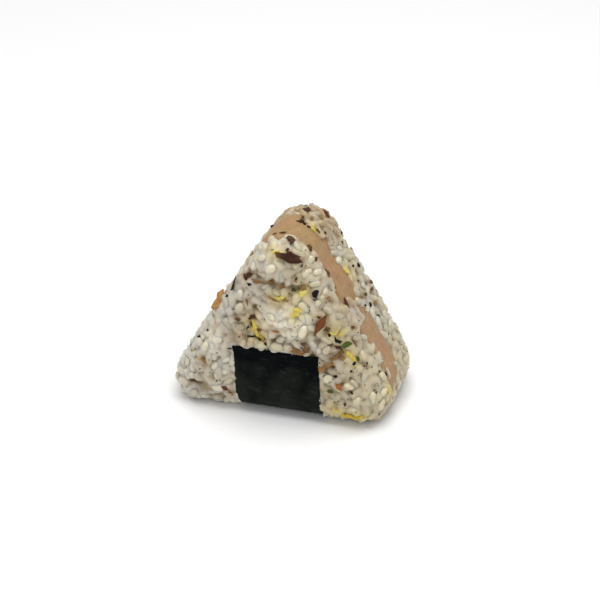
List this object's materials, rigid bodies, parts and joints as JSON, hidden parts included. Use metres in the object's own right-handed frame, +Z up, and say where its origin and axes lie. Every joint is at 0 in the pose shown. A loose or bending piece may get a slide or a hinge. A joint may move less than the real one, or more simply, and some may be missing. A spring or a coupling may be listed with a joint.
{
  "type": "onigiri rice ball",
  "caption": "Triangular onigiri of seasoned pressed rice with a slice of meat running through it and a nori strip wrapped under its base.",
  "frame": {"origin": "middle of the bounding box, on the floor under the nori strip", "axes": "+X along the width of the triangle, +Y from the front face to the back face, +Z up to the apex"},
  "size_m": [0.0958, 0.0532, 0.0821],
  "materials": {
    "rice": "satin",
    "meat": "satin",
    "nori": "satin"
  },
  "bodies": {
    "root": {"rice_front": "rice", "rice_back": "rice", "meat_slice": "meat", "nori_strip": "nori"}
  },
  "joints": []
}
